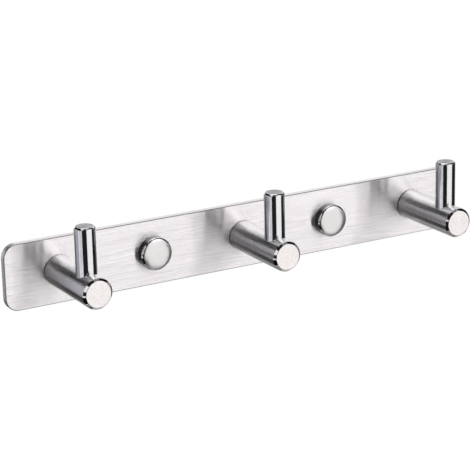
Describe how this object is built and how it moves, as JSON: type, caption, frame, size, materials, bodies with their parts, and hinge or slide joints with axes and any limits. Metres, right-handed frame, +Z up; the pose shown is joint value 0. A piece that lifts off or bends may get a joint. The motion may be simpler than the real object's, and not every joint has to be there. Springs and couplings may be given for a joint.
{
  "type": "wall hook rack",
  "caption": "Flat stainless wall plate with round pegs, an upright pin near the end of each peg, and round screw-on caps over its wall screws, for hanging coats and towels.",
  "frame": {"origin": "centre of the plate's back face, on the wall plane, midway between the two wall screws", "axes": "+X along the plate to the right as seen from the front, +Y into the wall, +Z up"},
  "size_m": [0.255, 0.0801, 0.0457],
  "materials": {
    "brushed_plate": "brushed along its length",
    "turned_peg": "satin, turned",
    "polished_pin": "mirror polished stainless steel",
    "polished_cap": "polished stainless steel",
    "seat_steel": "machined",
    "screw_steel": "plain stainless steel"
  },
  "bodies": {
    "rack": {"back_plate": "brushed_plate", "peg_left": "turned_peg", "peg_middle": "turned_peg", "peg_right": "turned_peg", "upright_pin_left": "polished_pin", "upright_pin_middle": "polished_pin", "upright_pin_right": "polished_pin", "peg_screw_left": "screw_steel", "peg_screw_middle": "screw_steel", "peg_screw_right": "screw_steel", "wall_screw_left": "screw_steel", "wall_screw_right": "screw_steel", "cap_seat_left": "seat_steel", "cap_seat_right": "seat_steel"},
    "left_cap": {"cover_cap_left": "polished_cap"},
    "right_cap": {"cover_cap_right": "polished_cap"}
  },
  "joints": [
    {"name": "left_cap_off", "type": "slide", "parent": "rack", "child": "left_cap", "axis": [0, -1, 0], "range_m": [0, 0.045]},
    {"name": "right_cap_off", "type": "slide", "parent": "rack", "child": "right_cap", "axis": [0, -1, 0], "range_m": [0, 0.045]}
  ]
}
